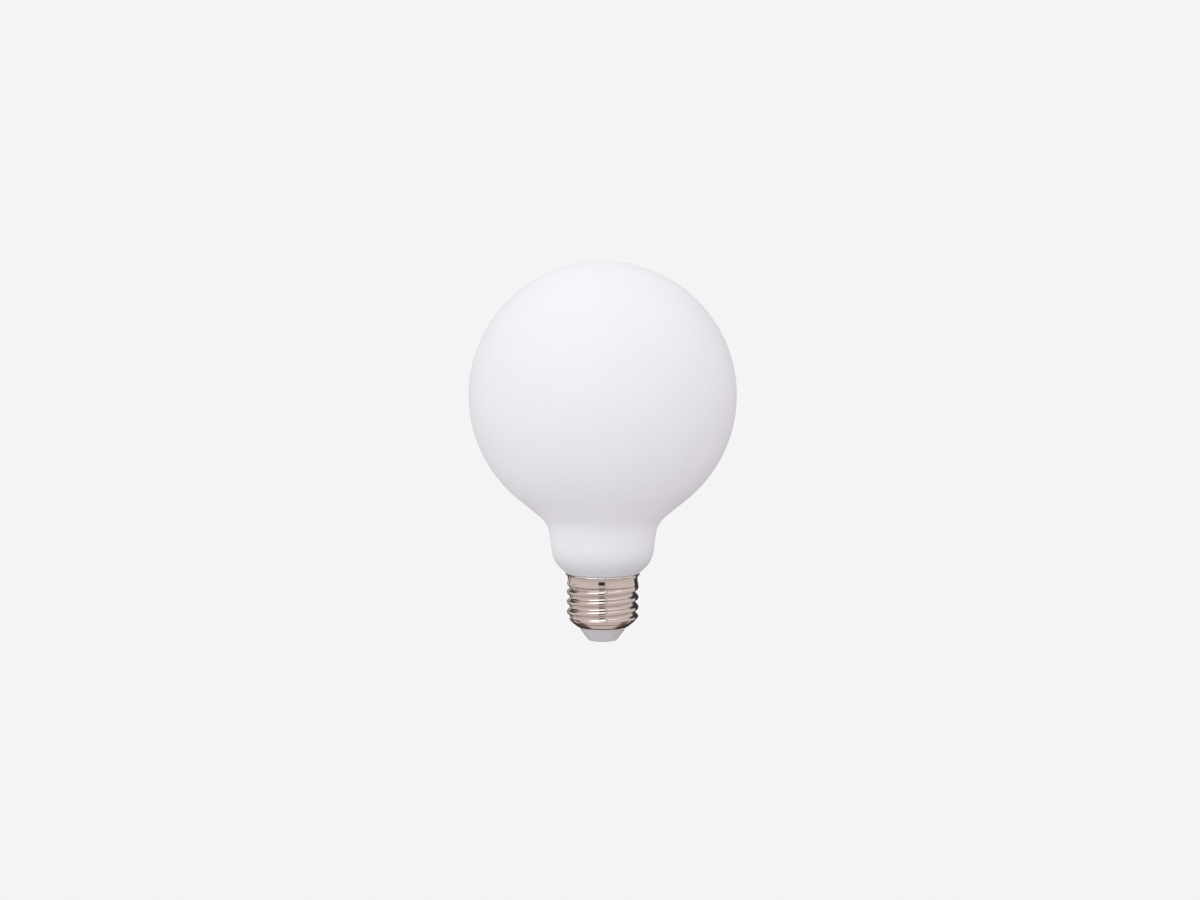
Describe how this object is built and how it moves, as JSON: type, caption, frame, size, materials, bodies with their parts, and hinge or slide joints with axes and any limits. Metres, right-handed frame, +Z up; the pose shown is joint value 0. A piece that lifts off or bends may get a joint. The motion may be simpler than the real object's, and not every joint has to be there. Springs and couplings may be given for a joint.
{
  "type": "led globe light bulb",
  "caption": "Opal glass globe LED light bulb with a short waisted neck on a rolled metal screw cap, with an insulator and a centre contact at its foot.",
  "frame": {"origin": "centre of the flat end of the centre contact, on the bulb's axis", "axes": "+Z up the axis from the contact to the crown of the globe; +X to the right as the bulb is seen from the front"},
  "size_m": [0.097, 0.097, 0.1382],
  "materials": {
    "opal_glass": "matt opal, white all through to the eye",
    "nickel_plate": "bright, warm-toned plate on rolled sheet",
    "insulator_plastic": "satin moulded",
    "contact_metal": "dull plated nail"
  },
  "bodies": {
    "root": {"globe": "opal_glass", "screw_shell": "nickel_plate", "insulator": "insulator_plastic", "centre_contact": "contact_metal"}
  },
  "joints": []
}
